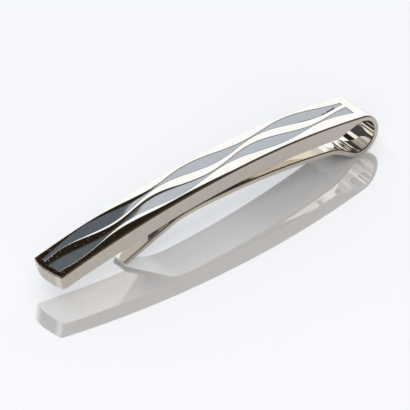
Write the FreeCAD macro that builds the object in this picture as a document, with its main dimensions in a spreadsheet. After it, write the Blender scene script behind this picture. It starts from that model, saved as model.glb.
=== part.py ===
import FreeCAD, Part
import math
import os
import Sketcher

# A slide-on tie bar lying on its back, decorated face up, in millimetres.
# +X points at the hairpin bend, +Y across the bar, +Z up from the surface that it lies on.
# The clip touches that surface, z = 0, under the bend and at the tongue's tip.

SIZES = (
    ("overall_length", "57.0", "front end to the outside of the bend"),
    ("bar_width", "6.0", "width of the bar, the bend and the leaf"),
    ("bar_thickness", "2.37", "height of the bar's side walls, from the crown to the bend"),
    ("arch_radius", "163", "top of the bar, from the crown to the front end"),
    ("shoulder_radius", "110.7", "top of the bar, from the crown to the bend"),
    ("belly_radius", "180", "underside of the bar, from the crown to the front end, where it is thinner"),
    ("crown_to_loop", "20.76", "crown of the arch back from the bend's centre"),
    ("end_bulge", "0.5", "how far the front end stands out past its corners"),
    ("end_corner_radius", "0.45", "upright corners of the front end"),
    ("edge_round", "0.15", "rounding along the edges of the outer faces"),
    ("ramp_length", "3.9", "underside ramp, back from the bend's centre"),
    ("strip_thickness", "0.75", "spring strip of the bend and the leaf"),
    ("loop_radius", "3.25", "outside of the hairpin bend"),
    ("bend_top_angle", "40", "where the bend leaves the bar, above the level"),
    ("bend_bottom_angle", "50", "where the bend meets the leaf, below the level"),
    ("leaf_rise_angle", "34.4", "slope of the leaf where it leaves the bend"),
    ("knee_radius", "6", "knee between that slope and the long arc"),
    ("leaf_radius", "117.6", "long arc of the leaf"),
    ("pinch_radius", "25.5", "arc of the leaf where it grips"),
    ("pinch_to_loop", "30.2", "grip point back from the bend's centre"),
    ("pinch_gap", "0.2", "bar to leaf at the grip point"),
    ("tongue_bend_angle", "8.7", "slope of the leaf where the tongue bend starts"),
    ("tongue_bend_radius", "4.8", "bend between the grip and the tongue"),
    ("tongue_angle", "32.7", "slope of the tongue"),
    ("tongue_tip_width", "2.0", "width of the tongue at its tip"),
    ("tongue_taper_length", "7.0", "plan length over which the tongue narrows"),
    ("tongue_shoulder_radius", "4", "where the taper leaves the leaf's sides, in plan"),
    ("tongue_bulge", "0.12", "how far the tongue's end stands out past its corners"),
    ("tongue_corner_radius", "0.3", "corners of the tongue's tip in plan"),
    ("tongue_lip_round", "0.4", "upper edge of the tongue's end"),
    ("wave_pitch", "17.93", "length of one wave along the face"),
    ("wave_start", "8.78", "first outer crest of the upper band, from the front end"),
    ("wave_lag", "5.45", "a band's inner crest before its outer crest"),
    ("band_offset", "4.15", "crests of the lower band before the upper band's"),
    ("rim_width", "0.73", "narrowest rim between a regular crest and the bar's side"),
    ("neck_width", "0.21", "narrowest neck of a band"),
    ("ribbon_neck", "0.65", "narrowest part of the ribbon between the bands"),
    ("swing_ratio", "1.29", "swing of a band's inner edge to its outer edge"),
    ("lead_flare", "0.35", "how much fuller the upper band is at the front end"),
    ("lead_length", "12.8", "front end to where that fullness has faded"),
    ("end_margin", "0.9", "front end to the start of the bands"),
    ("loop_margin", "0.1", "end of the bands back from the bend's centre"),
    ("channel_depth", "0.32", "depth of the channels that hold the bands"),
    ("inlay_thickness", "0.18", "thickness of the bands"),
    ("inlay_clearance", "0.02", "room round and under a band in its channel"),
)

# Places that follow from the sizes, so that each is worked out once.
LAYOUT = (
    ("loop_x", "=Sizes.overall_length / 2 - Sizes.loop_radius"),
    ("inner_radius", "=Sizes.loop_radius - Sizes.strip_thickness"),
    ("crown_x", "=loop_x - Sizes.crown_to_loop"),
    ("shoulder_drop", "=sqrt((Sizes.shoulder_radius - Sizes.loop_radius)^2 - Sizes.crown_to_loop^2)"),
    ("crown_height", "=Sizes.loop_radius - shoulder_drop + Sizes.shoulder_radius"),
    ("belly_depth", "=Sizes.belly_radius + Sizes.bar_thickness - crown_height"),
    ("pinch_lean", "=asin((Sizes.pinch_to_loop - Sizes.crown_to_loop) / Sizes.belly_radius)"),
    ("pinch_drop", "=Sizes.belly_radius - Sizes.pinch_gap - Sizes.pinch_radius"),
    ("pinch_x", "=crown_x - pinch_drop * sin(pinch_lean)"),
    ("pinch_depth", "=belly_depth - pinch_drop * cos(pinch_lean)"),
    ("turn_reach", "=Sizes.pinch_radius - Sizes.tongue_bend_radius"),
    ("turn_x", "=pinch_x - turn_reach * sin(Sizes.tongue_bend_angle)"),
    ("turn_depth", "=pinch_depth - turn_reach * cos(Sizes.tongue_bend_angle)"),
    ("turn_radius", "=Sizes.tongue_bend_radius - Sizes.strip_thickness"),
    ("tip_drop", "=Sizes.edge_round * (tan(Sizes.tongue_angle) + 1 / cos(Sizes.tongue_angle) - 1)"),
    ("tip_fall", "=turn_radius * cos(Sizes.tongue_angle) - turn_depth + tip_drop"),
    ("tip_reach", "=turn_radius * sin(Sizes.tongue_angle) + tip_fall / tan(Sizes.tongue_angle) - turn_x"),
    ("half_length", "=Sizes.overall_length / 2"),
    ("end_radius", "=(Sizes.bar_width^2 / 4 + Sizes.end_bulge^2) / (2 * Sizes.end_bulge)"),
    ("tongue_end_radius", "=Sizes.tongue_tip_width^2 / (8 * Sizes.tongue_bulge) + Sizes.tongue_bulge / 2"),
)

NODES = ("front_bar", "upper_wave_inlay", "lower_wave_inlay", "spring_bend", "back_leaf")

CUT_MARGIN = 1.0          # how far a cutting outline reaches past the metal
POINTS_PER_WAVE = 12      # points that a wavy edge is drawn through, per wave
UPRIGHT = math.pi / 2
SHARP_TURN = UPRIGHT / 2  # two walls that turn more than this make a corner
SLIGHT_TURN = UPRIGHT / 20

# How a sketch numbers the points of a piece, and its own origin and level axis.
POINTS = ("whole", "start", "end", "centre")
ORIGIN = (-1, POINTS.index("start"))
LEVEL_AXIS = ORIGIN[0]


def number(value):
    """Return a sheet or expression value as a plain number."""
    return float(getattr(value, "Value", value))


def make_sheets(doc):
    """Write the driving sizes and the places that follow from them, and return both as dictionaries."""
    sizes = doc.addObject("Spreadsheet::Sheet", "Sizes")
    for row, (name, value, meaning) in enumerate(SIZES, start=1):
        sizes.set(f"A{row}", meaning)
        sizes.set(f"B{row}", value)
        sizes.setAlias(f"B{row}", name)
    doc.recompute()
    layout = doc.addObject("Spreadsheet::Sheet", "Layout")
    for row, (name, formula) in enumerate(LAYOUT, start=1):
        layout.set(f"A{row}", name)
        layout.setAlias(f"B{row}", name)
        layout.set(f"B{row}", formula)
    doc.recompute()
    return ({name: number(sizes.get(name)) for name, _, _ in SIZES},
            {name: number(layout.get(name)) for name, _ in LAYOUT})


def polar(centre, radius, angle):
    """Return the point at an angle, in radians, on a circle."""
    return (centre[0] + radius * math.cos(angle), centre[1] + radius * math.sin(angle))


def angle_at(centre, point):
    """Return the angle of a point about a centre, in radians."""
    return math.atan2(point[1] - centre[1], point[0] - centre[0])


def height_on(centre, radius, x):
    """Return the height of the upper half of a circle at x."""
    return centre[1] + math.sqrt(radius ** 2 - (x - centre[0]) ** 2)


class Outline:
    """A sketch on one of a body's own planes, drawn in place and then held by constraints."""

    def __init__(self, body, plane, name):
        self.sketch = body.newObject("Sketcher::SketchObject", name)
        support = next(item for item in body.Origin.OriginFeatures if item.Role == plane)
        self.sketch.AttachmentSupport = [(support, "")]
        self.sketch.MapMode = "FlatFace"

    def line(self, first, last):
        return self.sketch.addGeometry(Part.LineSegment(FreeCAD.Vector(*first, 0), FreeCAD.Vector(*last, 0)))

    def arc(self, centre, radius, first, last):
        """Draw an arc counter-clockwise between two angles or points."""
        ends = [value if isinstance(value, float) else angle_at(centre, value) for value in (first, last)]
        circle = Part.Circle(FreeCAD.Vector(*centre, 0), FreeCAD.Vector(0, 0, 1), radius)
        return self.sketch.addGeometry(Part.ArcOfCircle(circle, *ends))

    def hold(self, kind, *references):
        """Add a constraint; points are given by their names."""
        numbers = [POINTS.index(item) if isinstance(item, str) else item for item in references]
        return self.sketch.addConstraint(Sketcher.Constraint(kind, *numbers))

    def bind(self, expression, kind, *references):
        """Add a dimension and tie it to an expression on the sheets."""
        value = number(self.sketch.evalExpression(expression))
        drawn = math.radians(value) if kind == "Angle" else value
        index = self.hold(kind, *references, drawn)
        self.sketch.setExpression(f"Constraints[{index}]", expression)


def pad_across(body, outline, name):
    """Pad an outline of the side view to the clip's full width."""
    pad = body.newObject("PartDesign::Pad", name)
    pad.Profile = outline.sketch
    pad.SideType = "Symmetric"
    pad.setExpression("Length", "Sizes.bar_width")
    body.Document.recompute()
    return pad


def cut_plan(body, plan, name):
    """Cut an outline of the plan view right through a body, and check that metal came off."""
    before = body.Shape.Volume
    pocket = body.newObject("PartDesign::Pocket", name)
    pocket.Profile = plan.sketch
    pocket.Type = "ThroughAll"
    pocket.SideType = "Symmetric"
    body.Document.recompute()
    if body.Shape.Volume >= before:
        raise RuntimeError(f"{name} cuts nothing")
    return pocket


def trim_front(body, size, place):
    """Trim the bar's front end to an arc in plan."""
    plan = Outline(body, "XY_Plane", "FrontPlan")
    half = size["bar_width"] / 2 + CUT_MARGIN
    radius = place["end_radius"]
    centre = (radius - place["half_length"], 0.0)
    inner_x = centre[0] - math.sqrt(radius ** 2 - half ** 2)
    outer_x = -place["half_length"] - CUT_MARGIN
    corners = [(inner_x, half), (outer_x, half), (outer_x, -half), (inner_x, -half)]
    swell = plan.arc(centre, radius, angle_at(centre, corners[0]), angle_at(centre, corners[3]) + 2 * math.pi)
    walls = [plan.line(first, last) for first, last in zip(corners, corners[1:])]
    plan.hold("PointOnObject", swell, "centre", LEVEL_AXIS)
    plan.bind("Layout.end_radius", "Radius", swell)
    plan.bind("Layout.end_radius - Layout.half_length", "DistanceX", *ORIGIN, swell, "centre")
    plan.hold("Coincident", swell, "start", walls[0], "start")
    plan.hold("Coincident", walls[0], "end", walls[1], "start")
    plan.hold("Coincident", walls[1], "end", walls[2], "start")
    plan.hold("Coincident", walls[2], "end", swell, "end")
    plan.hold("Horizontal", walls[0])
    plan.hold("Vertical", walls[1])
    plan.hold("Horizontal", walls[2])
    plan.bind(f"Sizes.bar_width / 2 + {CUT_MARGIN}", "DistanceY", *ORIGIN, swell, "start")
    plan.hold("Vertical", swell, "start", swell, "end")
    plan.bind(f"Layout.half_length + {CUT_MARGIN}", "DistanceX", walls[1], "start", *ORIGIN)
    return cut_plan(body, plan, "FrontTrim")


def trim_tongue(body, size, place):
    """Taper the tongue in plan to its narrow tip, which is an arc."""
    plan = Outline(body, "XY_Plane", "TonguePlan")
    tip_half, wide = size["tongue_tip_width"] / 2, size["bar_width"] / 2 + CUT_MARGIN
    narrowing = (size["bar_width"] / 2 - tip_half) / size["tongue_taper_length"]
    corner_x = size["tongue_bulge"] - place["tip_reach"]
    wide_x = corner_x + (wide - tip_half) / narrowing
    outer_x = -place["tip_reach"] - CUT_MARGIN
    centre = (place["tongue_end_radius"] - place["tip_reach"], 0.0)
    tip = plan.arc(centre, place["tongue_end_radius"], angle_at(centre, (corner_x, tip_half)),
                   angle_at(centre, (corner_x, -tip_half)) + 2 * math.pi)
    corners = [(corner_x, -tip_half), (wide_x, -wide), (outer_x, -wide), (outer_x, wide), (wide_x, wide),
               (corner_x, tip_half)]
    walls = [plan.line(first, last) for first, last in zip(corners, corners[1:])]
    near, low, outer, high, far = walls

    plan.hold("PointOnObject", tip, "centre", LEVEL_AXIS)
    plan.bind("Layout.tongue_end_radius", "Radius", tip)
    plan.bind("Layout.tongue_end_radius - Layout.tip_reach", "DistanceX", *ORIGIN, tip, "centre")
    plan.bind("Sizes.tongue_tip_width / 2", "DistanceY", *ORIGIN, tip, "start")
    plan.hold("Vertical", tip, "start", tip, "end")
    plan.hold("Coincident", tip, "end", near, "start")
    for first, second in zip(walls, walls[1:]):
        plan.hold("Coincident", first, "end", second, "start")
    plan.hold("Coincident", far, "end", tip, "start")
    plan.hold("Horizontal", low)
    plan.hold("Vertical", outer)
    plan.hold("Horizontal", high)
    plan.hold("Vertical", near, "end", far, "start")
    plan.bind(f"Sizes.bar_width / 2 + {CUT_MARGIN}", "DistanceY", *ORIGIN, far, "start")
    plan.bind(f"Sizes.bar_width / 2 + {CUT_MARGIN}", "DistanceY", near, "end", *ORIGIN)
    plan.bind("Sizes.tongue_taper_length"
              f" * (1 + 2 * {CUT_MARGIN} / (Sizes.bar_width - Sizes.tongue_tip_width))",
              "DistanceX", far, "end", far, "start")
    plan.bind(f"Layout.tip_reach + {CUT_MARGIN}", "DistanceX", outer, "start", *ORIGIN)
    return cut_plan(body, plan, "TongueTrim")


def normals_beside(shape, edge, point):
    """Return the outward normals of the faces on both sides of an edge."""
    faces = shape.ancestorsOfType(edge, Part.Face)
    return [face.normalAt(*face.Surface.parameter(point)) for face in faces]


def round_edges(body, base, name, size_name, wanted):
    """Round the edges of a feature whose middle point and neighbouring normals are wanted."""
    picked = []
    for index, edge in enumerate(base.Shape.Edges, start=1):
        middle = edge.valueAt((edge.FirstParameter + edge.LastParameter) / 2)
        if wanted(middle, normals_beside(base.Shape, edge, middle)):
            picked.append(f"Edge{index}")
    fillet = body.newObject("PartDesign::Fillet", name)
    fillet.Base = (base, picked)
    fillet.setExpression("Radius", f"Sizes.{size_name}")
    body.Document.recompute()
    return fillet


def wall_turn(normals):
    """Return the angle that two upright walls turn through, or 0 where a face isn't upright."""
    if any(abs(normal.z) > 1e-6 for normal in normals):
        return 0.0
    return normals[0].getAngle(normals[1])


def bar_blank(doc, size, place):
    """The arched bar with its underside ramp and the start of the bend, before the channels are cut."""
    body = doc.addObject("PartDesign::Body", "BarBlank")
    side = Outline(body, "XZ_Plane", "BarSide")
    loop = (place["loop_x"], size["loop_radius"])
    arch = (place["crown_x"], place["crown_height"] - size["arch_radius"])
    shoulder = (place["crown_x"], place["crown_height"] - size["shoulder_radius"])
    belly_centre = (place["crown_x"], -place["belly_depth"])
    belly = size["shoulder_radius"] - size["bar_thickness"]
    front = -place["half_length"]
    cut = math.radians(size["bend_top_angle"])
    foot_x = loop[0] - size["ramp_length"]
    foot = (foot_x, height_on(shoulder, belly, foot_x))
    slope = angle_at(foot, loop) + math.asin(place["inner_radius"] / math.dist(foot, loop))
    toe = polar(loop, place["inner_radius"], slope + UPRIGHT)
    front_top = (front, height_on(arch, size["arch_radius"], front))
    front_bottom = (front, height_on(belly_centre, size["belly_radius"], front))
    touch = angle_at(shoulder, loop)

    top = side.arc(arch, size["arch_radius"], UPRIGHT, front_top)
    top_shoulder = side.arc(shoulder, size["shoulder_radius"], touch, UPRIGHT)
    outside = side.arc(loop, size["loop_radius"], cut, touch)
    inside = side.arc(loop, place["inner_radius"], cut, slope + UPRIGHT)
    end_cut = side.line(polar(loop, place["inner_radius"], cut), polar(loop, size["loop_radius"], cut))
    ramp = side.line(foot, toe)
    belly_shoulder = side.arc(shoulder, belly, foot, UPRIGHT)
    belly_arch = side.arc(belly_centre, size["belly_radius"], UPRIGHT, front_bottom)
    end_wall = side.line(front_bottom, front_top)

    side.bind("Layout.loop_x", "DistanceX", *ORIGIN, outside, "centre")
    side.bind("Sizes.loop_radius", "DistanceY", *ORIGIN, outside, "centre")
    side.bind("Sizes.loop_radius", "Radius", outside)
    side.bind("Sizes.arch_radius", "Radius", top)
    side.bind("Sizes.shoulder_radius", "Radius", top_shoulder)
    side.bind("Sizes.crown_to_loop", "DistanceX", top, "centre", outside, "centre")
    side.bind("Layout.half_length", "DistanceX", top, "end", *ORIGIN)
    side.hold("Vertical", top, "centre", top, "start")
    side.hold("Vertical", top, "centre", top_shoulder, "centre")
    side.hold("Coincident", top, "start", top_shoulder, "end")
    side.hold("Tangent", top_shoulder, "start", outside, "end")
    side.hold("Coincident", inside, "centre", outside, "centre")
    side.bind("Layout.inner_radius", "Radius", inside)
    side.hold("Coincident", end_cut, "start", inside, "start")
    side.hold("Coincident", end_cut, "end", outside, "start")
    side.hold("PointOnObject", outside, "centre", end_cut)
    side.bind("Sizes.bend_top_angle", "Angle", end_cut)
    side.hold("Tangent", ramp, "end", inside, "end")
    side.hold("Coincident", ramp, "start", belly_shoulder, "start")
    side.bind("Sizes.ramp_length", "DistanceX", ramp, "start", outside, "centre")
    side.hold("Coincident", belly_shoulder, "centre", top_shoulder, "centre")
    side.bind("Sizes.shoulder_radius - Sizes.bar_thickness", "Radius", belly_shoulder)
    side.hold("Vertical", belly_shoulder, "centre", belly_shoulder, "end")
    side.bind("Sizes.belly_radius", "Radius", belly_arch)
    side.hold("Vertical", belly_arch, "centre", belly_arch, "start")
    side.hold("Coincident", belly_arch, "start", belly_shoulder, "end")
    side.hold("Coincident", end_wall, "start", belly_arch, "end")
    side.hold("Coincident", end_wall, "end", top, "end")
    side.hold("Vertical", end_wall)
    pad_across(body, side, "BarPad")

    trim = trim_front(body, size, place)
    corners = round_edges(body, trim, "BarEndCorners", "end_corner_radius",
                          lambda middle, normals: middle.x < 0 and wall_turn(normals) > SHARP_TURN)
    # The face is the side that looks up; its edges against the upright walls are rounded.
    round_edges(body, corners, "BarEdges", "edge_round",
                lambda middle, normals: max(normal.z for normal in normals) > 0.5
                and min(abs(normal.z) for normal in normals) < 1e-3)
    return body


def arched_sheet(doc, size, place, name, low, high):
    """A sheet that follows the bar's arch, between two depths under its face."""
    body = doc.addObject("PartDesign::Body", name)
    side = Outline(body, "XZ_Plane", f"{name}Side")
    arch = (place["crown_x"], place["crown_height"] - size["arch_radius"])
    shoulder = (place["crown_x"], place["crown_height"] - size["shoulder_radius"])
    front, back = -place["half_length"], place["loop_x"]
    ends = []
    for depth in (low, high):
        deep = number(side.sketch.evalExpression(depth))
        front_end = (front, height_on(arch, size["arch_radius"] - deep, front))
        back_end = (back, height_on(shoulder, size["shoulder_radius"] - deep, back))
        main = side.arc(arch, size["arch_radius"] - deep, UPRIGHT, front_end)
        tail = side.arc(shoulder, size["shoulder_radius"] - deep, back_end, UPRIGHT)
        side.bind(f"Sizes.arch_radius - ({depth})", "Radius", main)
        side.bind(f"Sizes.shoulder_radius - ({depth})", "Radius", tail)
        side.bind("Layout.crown_x", "DistanceX", *ORIGIN, main, "centre")
        side.bind("Sizes.arch_radius - Layout.crown_height", "DistanceY", main, "centre", *ORIGIN)
        side.hold("Vertical", main, "centre", tail, "centre")
        side.hold("Vertical", main, "centre", main, "start")
        side.hold("Coincident", main, "start", tail, "end")
        side.bind("Layout.half_length", "DistanceX", main, "end", *ORIGIN)
        side.bind("Layout.loop_x", "DistanceX", *ORIGIN, tail, "start")
        ends.append(((main, "end", front_end), (tail, "start", back_end)))
    for (low_piece, low_point, low_place), (high_piece, high_point, high_place) in zip(*ends):
        wall = side.line(low_place, high_place)
        side.hold("Coincident", wall, "start", low_piece, low_point)
        side.hold("Coincident", wall, "end", high_piece, high_point)
    pad_across(body, side, f"{name}Pad")
    return body


def band_edges(size, hand):
    """Return the inner and outer edge of a band as functions of the way from the front end.

    Hand is 1 for the upper band and -1 for the lower one, which runs the other way round.
    The bands swing as far as the rims, the necks and the ribbon between them leave room for.
    """
    turn = 2 * math.pi / size["wave_pitch"]
    ratio = size["swing_ratio"]
    lag = hand * size["wave_lag"]
    crest = size["wave_start"] - (size["band_offset"] if hand < 0 else 0)
    spread = math.sqrt(1 + ratio ** 2 - 2 * ratio * math.cos(turn * lag))
    squeeze = ratio * abs(math.cos(turn * (size["band_offset"] - 2 * size["wave_lag"]) / 2))
    room = size["bar_width"] / 2 - size["rim_width"] - size["neck_width"] - size["ribbon_neck"] / 2
    swing = room / (1 + spread + squeeze)
    outer_middle = size["bar_width"] / 2 - size["rim_width"] - swing
    inner_middle = outer_middle - size["neck_width"] - spread * swing

    def outer(way):
        lead = min(max(way / size["lead_length"], 0), 1) if hand > 0 else 1
        fullness = size["lead_flare"] * math.cos(UPRIGHT * lead) ** 2
        return outer_middle + swing * math.cos(turn * (way - crest)) + fullness

    def inner(way):
        return inner_middle + ratio * swing * math.cos(turn * (way - crest + lag))

    return inner, outer


def band_face(size, place, hand, inset):
    """A wave band in plan, drawn smaller all round by the inset."""
    front = -place["half_length"]
    centre_x = front + place["end_radius"]
    start_radius = place["end_radius"] - size["end_margin"] - inset
    finish = place["loop_x"] - size["loop_margin"] - inset

    def start_at(y):
        return centre_x - math.sqrt(start_radius ** 2 - y ** 2)

    def wavy(edge, offset):
        """Draw a wavy edge from the curved start of the band to its straight finish."""
        first = centre_x - start_radius
        for _ in range(30):
            first = start_at(edge(first - front) + offset)
        steps = math.ceil((finish - first) / size["wave_pitch"] * POINTS_PER_WAVE)
        places = [first + (finish - first) * step / steps for step in range(steps + 1)]
        curve = Part.BSplineCurve()
        curve.interpolate([FreeCAD.Vector(x, hand * (edge(x - front) + offset), 0) for x in places])
        return curve

    inner, outer = band_edges(size, hand)
    low, high = wavy(inner, inset), wavy(outer, -inset)
    middle_y = (low.StartPoint.y + high.StartPoint.y) / 2
    start_arc = Part.Arc(high.StartPoint, FreeCAD.Vector(start_at(middle_y), middle_y, 0), low.StartPoint)
    finish_line = Part.LineSegment(low.EndPoint, high.EndPoint)
    edges = [curve.toShape() for curve in (low, finish_line, high, start_arc)]
    return Part.Face(Part.Wire(Part.__sortEdges__(edges)))


def band_solid(doc, size, place, name, hand, inset, sheet):
    """A band as the part of an arched sheet that lies inside the band's outline."""
    outline = doc.addObject("Part::Feature", f"{name}Outline")
    outline.Shape = band_face(size, place, hand, inset)
    prism = doc.addObject("Part::Extrusion", f"{name}Prism")
    prism.Base = outline
    prism.DirMode = "Custom"
    prism.Dir = FreeCAD.Vector(0, 0, 1)
    prism.Solid = True
    prism.setExpression("LengthFwd", f"Layout.crown_height + 2 * {CUT_MARGIN}")
    band = doc.addObject("Part::Common", name)
    band.Base = prism
    band.Tool = sheet
    doc.recompute()
    return band


def cut_from(doc, base, tool, name):
    """Cut a channel, and check that metal came off."""
    cut = doc.addObject("Part::Cut", name)
    cut.Base = base
    cut.Tool = tool
    doc.recompute()
    if cut.Shape.Volume >= base.Shape.Volume:
        raise RuntimeError(f"{name} cuts nothing")
    return cut


def spring_bend(doc, size, place):
    """The hairpin bend between the bar and the leaf."""
    body = doc.addObject("PartDesign::Body", "SpringBend")
    side = Outline(body, "XZ_Plane", "BendSide")
    loop = (place["loop_x"], size["loop_radius"])
    low, high = math.radians(-size["bend_bottom_angle"]), math.radians(size["bend_top_angle"])
    outside = side.arc(loop, size["loop_radius"], low, high)
    inside = side.arc(loop, place["inner_radius"], low, high)
    side.bind("Layout.loop_x", "DistanceX", *ORIGIN, outside, "centre")
    side.bind("Sizes.loop_radius", "DistanceY", *ORIGIN, outside, "centre")
    side.bind("Sizes.loop_radius", "Radius", outside)
    side.bind("Layout.inner_radius", "Radius", inside)
    side.hold("Coincident", inside, "centre", outside, "centre")
    for angle, point, expression in ((low, "start", "-Sizes.bend_bottom_angle"),
                                     (high, "end", "Sizes.bend_top_angle")):
        end = side.line(polar(loop, place["inner_radius"], angle), polar(loop, size["loop_radius"], angle))
        side.hold("Coincident", end, "start", inside, point)
        side.hold("Coincident", end, "end", outside, point)
        side.hold("PointOnObject", outside, "centre", end)
        side.bind(expression, "Angle", end)
    pad = pad_across(body, side, "BendPad")
    # The outside of the bend looks toward +X; its edges against the side walls are rounded.
    round_edges(body, pad, "BendEdges", "edge_round",
                lambda middle, normals: max(normal.x for normal in normals) > 0.5
                and max(abs(normal.y) for normal in normals) > 0.5)
    return body


def leaf_arcs(size, place):
    """Work out the leaf's upper edge: its arcs, and the angles at which they meet."""
    rise = math.radians(size["leaf_rise_angle"])
    loop = (place["loop_x"], size["loop_radius"])
    pinch = (place["pinch_x"], -place["pinch_depth"])
    leaf = (pinch[0], pinch[1] + size["pinch_radius"] - size["leaf_radius"])
    turn = (place["turn_x"], -place["turn_depth"])
    # The knee rolls along under the straight slope until it touches the long arc from inside.
    along = (-math.cos(rise), math.sin(rise))
    lift = place["inner_radius"] + size["knee_radius"]
    base = (loop[0] - lift * math.sin(rise), loop[1] - lift * math.cos(rise))
    apart = (base[0] - leaf[0], base[1] - leaf[1])
    shift = apart[0] * along[0] + apart[1] * along[1]
    reach = size["leaf_radius"] - size["knee_radius"]
    root = math.sqrt(shift ** 2 - math.hypot(*apart) ** 2 + reach ** 2)
    travel = min(way for way in (-shift - root, -shift + root) if way > 0)
    knee = (base[0] + travel * along[0], base[1] + travel * along[1])
    arcs = [(knee, size["knee_radius"]), (leaf, size["leaf_radius"]),
            (pinch, size["pinch_radius"]), (turn, size["tongue_bend_radius"])]
    meets = [UPRIGHT - rise, angle_at(leaf, knee), UPRIGHT,
             UPRIGHT + math.radians(size["tongue_bend_angle"]),
             UPRIGHT + math.radians(size["tongue_angle"])]
    return loop, arcs, meets


def back_leaf(doc, size, place):
    """The leaf: the end of the bend, a slope, a knee, a long arc, the grip, a bend and the tongue."""
    body = doc.addObject("PartDesign::Body", "BackLeaf")
    side = Outline(body, "XZ_Plane", "LeafSide")
    loop, arcs, meets = leaf_arcs(size, place)
    thick, lip = size["strip_thickness"], size["tongue_lip_round"]
    cut = math.radians(-size["bend_bottom_angle"])
    tilt = math.radians(size["tongue_angle"])
    tip_x = -place["tip_reach"]

    def edge_chain(loop_radius, depth, end_x):
        """Draw one edge of the strip, depth under the upper edge, and return its pieces in order."""
        loop_end = meets[0] - math.pi
        chain = [side.arc(loop, loop_radius, loop_end, cut)]
        chain.append(side.line(polar(loop, loop_radius, loop_end),
                               polar(arcs[0][0], arcs[0][1] - depth, meets[0])))
        for (centre, radius), first, last in zip(arcs, meets, meets[1:]):
            chain.append(side.arc(centre, radius - depth, first, last))
        start = polar(arcs[-1][0], arcs[-1][1] - depth, meets[-1])
        end = (end_x, start[1] - (start[0] - end_x) * math.tan(tilt))
        chain.append(side.line(start, end))
        return chain, end

    # The tongue's upper edge stops where the lip starts to round over to the upright end wall.
    lip_x = tip_x + lip * (1 - math.sin(tilt))
    upper, upper_end = edge_chain(place["inner_radius"], 0.0, lip_x)
    lower, lower_end = edge_chain(size["loop_radius"], thick, tip_x)
    lip_centre = (tip_x + lip, upper_end[1] - lip * math.cos(tilt))
    lip_arc = side.arc(lip_centre, lip, UPRIGHT + tilt, math.pi)
    end_wall = side.line((tip_x, lip_centre[1]), lower_end)
    root = side.line(polar(loop, place["inner_radius"], cut), polar(loop, size["loop_radius"], cut))

    for bend, slope, knee, leaf, pinch, turn, tongue in (upper, lower):
        side.hold("Tangent", bend, "start", slope, "start")
        side.hold("Tangent", slope, "end", knee, "start")
        side.hold("Tangent", knee, "end", leaf, "start")
        side.hold("Tangent", leaf, "end", pinch, "start")
        side.hold("Tangent", pinch, "end", turn, "start")
        side.hold("Tangent", turn, "end", tongue, "start")
    bend, slope, knee, leaf, pinch, turn, tongue = upper
    side.bind("Layout.loop_x", "DistanceX", *ORIGIN, bend, "centre")
    side.bind("Sizes.loop_radius", "DistanceY", *ORIGIN, bend, "centre")
    side.bind("Layout.inner_radius", "Radius", bend)
    side.bind("180 - Sizes.leaf_rise_angle", "Angle", slope)
    side.bind("Sizes.knee_radius", "Radius", knee)
    side.bind("Sizes.leaf_radius", "Radius", leaf)
    side.bind("Sizes.pinch_radius", "Radius", pinch)
    side.bind("Sizes.tongue_bend_radius", "Radius", turn)
    side.bind("Layout.loop_x - Layout.pinch_x", "DistanceX", pinch, "centre", bend, "centre")
    side.bind("Sizes.loop_radius + Layout.pinch_depth", "DistanceY", pinch, "centre", bend, "centre")
    side.hold("Vertical", pinch, "centre", pinch, "start")
    side.bind("Layout.pinch_x - Layout.turn_x", "DistanceX", turn, "centre", pinch, "centre")
    side.bind("Sizes.tongue_angle - 180", "Angle", tongue)
    side.hold("Coincident", lower[0], "centre", bend, "centre")
    side.bind("Sizes.loop_radius", "Radius", lower[0])
    for over, under in zip(upper[2:6], lower[2:6]):
        side.hold("Coincident", under, "centre", over, "centre")
    side.bind("Sizes.knee_radius - Sizes.strip_thickness", "Radius", lower[2])
    side.hold("Parallel", lower[6], tongue)
    side.hold("Coincident", root, "start", bend, "end")
    side.hold("Coincident", root, "end", lower[0], "end")
    side.hold("PointOnObject", bend, "centre", root)
    side.bind("-Sizes.bend_bottom_angle", "Angle", root)
    side.hold("Tangent", tongue, "end", lip_arc, "start")
    side.hold("Tangent", lip_arc, "end", end_wall, "start")
    side.bind("Sizes.tongue_lip_round", "Radius", lip_arc)
    side.hold("Coincident", end_wall, "end", lower[6], "end")
    side.hold("Vertical", end_wall)
    side.bind("Layout.tip_reach", "DistanceX", end_wall, "end", *ORIGIN)
    pad_across(body, side, "LeafPad")

    trim = trim_tongue(body, size, place)
    corners = round_edges(body, trim, "TongueCorners", "tongue_corner_radius",
                          lambda middle, normals: middle.x < 0 and wall_turn(normals) > SHARP_TURN)
    shoulders = round_edges(body, corners, "TongueShoulders", "tongue_shoulder_radius",
                            lambda middle, normals: SLIGHT_TURN < wall_turn(normals) < SHARP_TURN)
    # The outer side of the leaf looks down; its edges against the upright walls are rounded.
    round_edges(body, shoulders, "LeafEdges", "edge_round",
                lambda middle, normals: min(normal.z for normal in normals) < -0.5
                and min(abs(normal.z) for normal in normals) < 1e-3)
    return body


def check_document(doc):
    """Stop if an object failed, a sketch is loose or a piece isn't one sound solid."""
    for item in doc.Objects:
        if "Invalid" in item.State or "Error" in item.State:
            raise RuntimeError(f"{item.Label} failed: {item.State}")
        if item.TypeId == "Sketcher::SketchObject" and not item.FullyConstrained:
            raise RuntimeError(f"{item.Label} is not fully constrained")
    for label in NODES:
        shape = doc.getObjectsByLabel(label)[0].Shape
        if shape.isNull() or not shape.isValid() or len(shape.Solids) != 1:
            raise RuntimeError(f"{label} is not one sound solid")


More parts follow.
